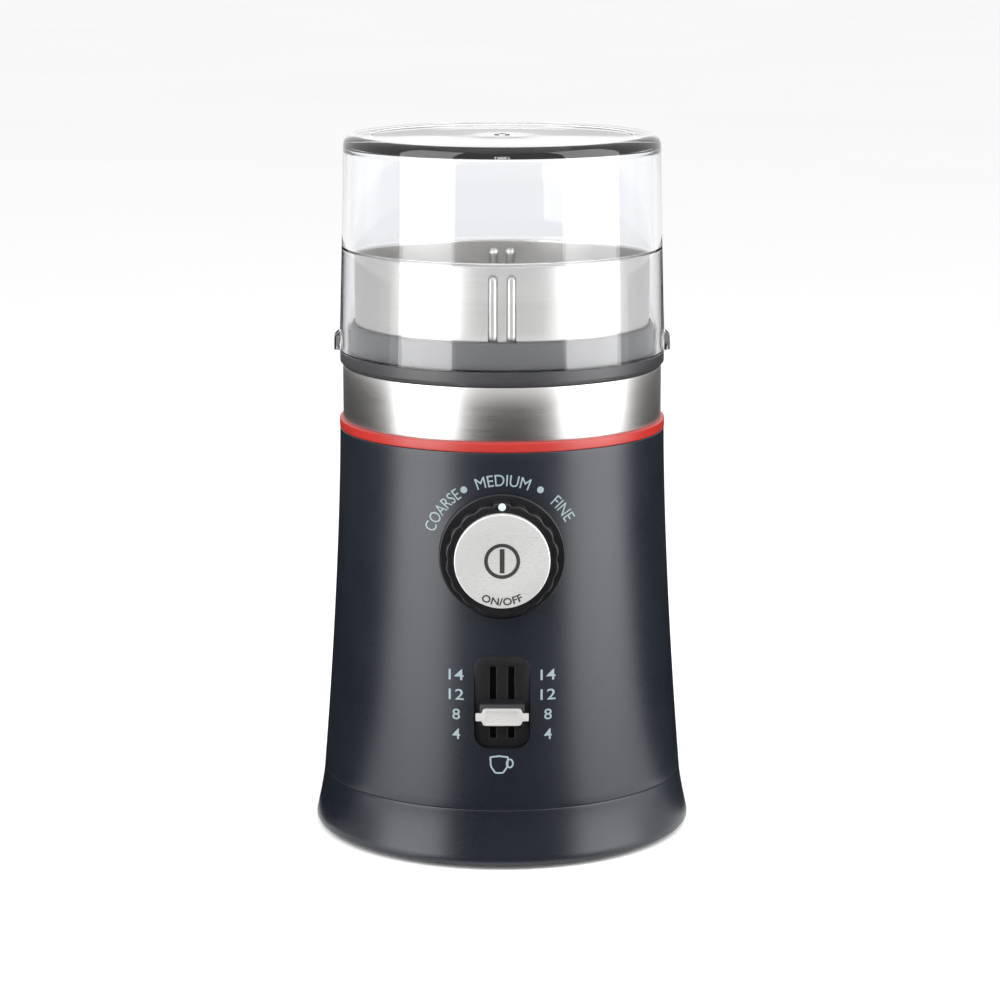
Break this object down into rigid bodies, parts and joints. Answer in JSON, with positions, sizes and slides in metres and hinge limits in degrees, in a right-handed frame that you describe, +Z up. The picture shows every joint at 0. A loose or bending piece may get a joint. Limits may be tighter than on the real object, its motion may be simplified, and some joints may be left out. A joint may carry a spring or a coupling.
{
  "type": "blade coffee grinder",
  "caption": "Upright blade coffee grinder with flared housing, grind dial with on/off button, cup selector, lift-out steel cup and clear lid",
  "frame": {"origin": "centre of the base, on the table under the feet", "axes": "+Z up through the motor shaft and the cup, front with dial and button faces -Y, +X to the right seen from the front"},
  "size_m": [0.1194, 0.1195, 0.22],
  "materials": {
    "housing": "satin metallic slate paint",
    "black_plastic": "fine moulded texture",
    "accent": "satin red",
    "brushed_steel": "brushed round the axis",
    "collar_grey": "satin grey",
    "clear_plastic": "clear, polished",
    "button_metal": "satin, turned",
    "pointer_white": "painted dot",
    "rubber": "matt",
    "natural_plastic": "natural acetal",
    "board_green": "solder resist",
    "relay_blue": "moulded case",
    "capacitor_yellow": "moulded case",
    "sensor_metal": "stamped",
    "zinc_steel": "zinc plated",
    "bearing_steel": "ground",
    "lamination_iron": "stacked sheets",
    "copper": "enamelled wire",
    "brass": "drawn",
    "carbon": "pressed carbon"
  },
  "bodies": {
    "base": {"main_housing": "housing", "base_skirt": "housing", "bottom_cover": "black_plastic", "rubber_feet": "rubber", "cover_screws": "zinc_steel", "accent_ring": "accent", "steel_band": "brushed_steel", "chamber_well": "black_plastic", "well_screws": "zinc_steel", "dial_bezel": "black_plastic", "selector_bezel": "black_plastic", "control_board": "board_green", "board_screws": "zinc_steel", "power_switch": "natural_plastic", "grind_contacts": "brass", "cup_sensor": "sensor_metal", "relay": "relay_blue", "capacitor": "capacitor_yellow", "lid_switch": "black_plastic", "stator_core": "lamination_iron", "field_coils": "copper", "upper_bracket": "zinc_steel", "lower_bracket": "zinc_steel", "upper_bearing": "bearing_steel", "lower_bearing": "bearing_steel", "brush_holders": "brass", "carbon_brushes": "carbon", "motor_bolts": "zinc_steel", "motor_mounts": "rubber", "motor_screws": "zinc_steel", "button_spring": "zinc_steel", "pin_spring": "zinc_steel", "cord_gland": "black_plastic"},
    "rotor": {"motor_shaft": "bearing_steel", "armature_core": "lamination_iron", "armature_windings": "copper", "commutator": "copper", "cooling_fan": "black_plastic", "drive_coupling": "natural_plastic"},
    "chamber": {"cup": "brushed_steel", "chamber_collar": "collar_grey", "blade_bushing": "brass", "shaft_seal": "rubber"},
    "blade_set": {"blade": "bearing_steel", "blade_spindle": "bearing_steel", "blade_nut": "bearing_steel", "driven_coupling": "black_plastic"},
    "lid": {"lid": "clear_plastic"},
    "dial": {"dial_knob": "black_plastic", "dial_pointer": "pointer_white", "dial_wiper": "brass"},
    "button": {"button_cap": "button_metal", "button_stem": "natural_plastic"},
    "selector": {"selector_knob": "black_plastic", "selector_bar": "button_metal", "selector_carriage": "natural_plastic"},
    "safety_pin": {"interlock_pin": "natural_plastic"}
  },
  "joints": [
    {"name": "motor_spin", "type": "hinge", "parent": "base", "child": "rotor", "pos_m": [0, 0, 0.08], "axis": [0, 0, 1], "continuous": true},
    {"name": "chamber_lift", "type": "slide", "parent": "base", "child": "chamber", "axis": [0, 0, 1], "range_m": [0, 0.06]},
    {"name": "blade_spin", "type": "hinge", "parent": "chamber", "child": "blade_set", "pos_m": [0, 0, 0.14], "axis": [0, 0, 1], "continuous": true},
    {"name": "lid_lift", "type": "slide", "parent": "chamber", "child": "lid", "axis": [0, 0, 1], "range_m": [0, 0.1]},
    {"name": "dial_turn", "type": "hinge", "parent": "base", "child": "dial", "pos_m": [0, -0.055, 0.0968], "axis": [0, -1, 0], "range_deg": [-54, 54]},
    {"name": "button_press", "type": "slide", "parent": "base", "child": "button", "axis": [0, 1, 0], "range_m": [0, 0.002], "stiffness_N_per_m": 300, "deforming": ["button_spring"]},
    {"name": "selector_slide", "type": "slide", "parent": "base", "child": "selector", "axis": [0, 0, 1], "range_m": [-0.0061, 0.0122]},
    {"name": "pin_slide", "type": "slide", "parent": "base", "child": "safety_pin", "axis": [0, 0, 1], "range_m": [0, 0.0025], "deforming": ["pin_spring"]}
  ],
  "couplings": [
    {"joint": "blade_spin", "follows": "motor_spin", "ratio": 1},
    {"joint": "pin_slide", "follows": "lid_lift", "ratio": 0.025}
  ]
}
